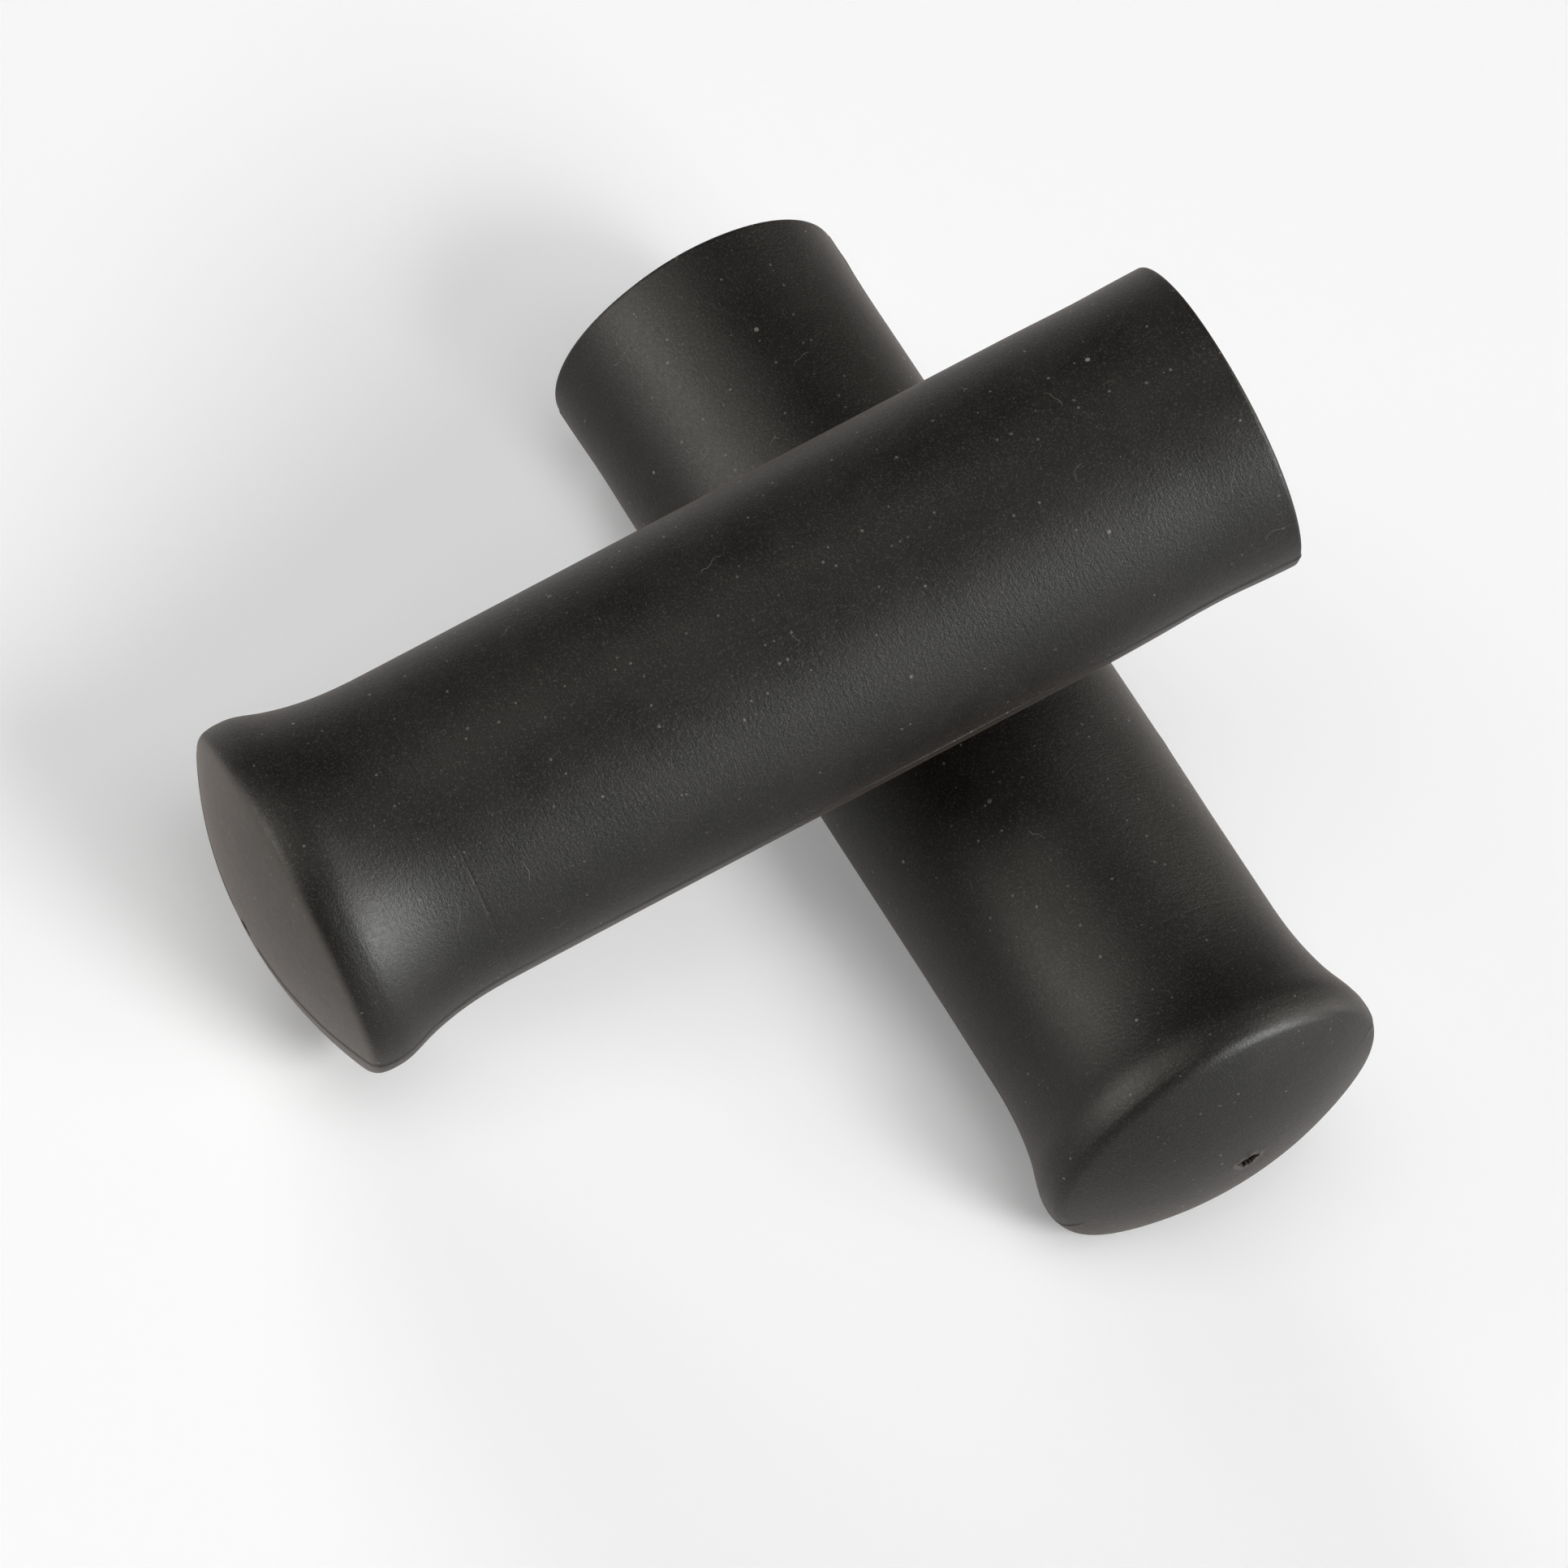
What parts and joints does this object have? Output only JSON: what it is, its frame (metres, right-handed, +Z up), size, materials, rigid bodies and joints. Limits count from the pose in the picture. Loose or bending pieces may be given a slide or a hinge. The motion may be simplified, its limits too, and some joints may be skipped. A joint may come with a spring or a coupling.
{
  "type": "bar end grips",
  "caption": "Two closed-end slip-on rubber grips with flared domed ends and blind bores, one lying across the other.",
  "frame": {"origin": "ground level, at the middle of the footprint of the crossed pair", "axes": "+Z up; the lower grip's bore opens towards +Y; the upper grip's bore opens towards +X and upwards"},
  "size_m": [0.1058, 0.1058, 0.0746],
  "materials": {
    "grip_rubber": "matte black moulded rubber with a faint sheen"
  },
  "bodies": {
    "lower": {"lower_grip": "grip_rubber"},
    "upper": {"upper_grip": "grip_rubber"}
  },
  "joints": [
    {"name": "lift_off", "type": "slide", "parent": "lower", "child": "upper", "axis": [0, 0, 1], "range_m": [0, 0.1]}
  ]
}
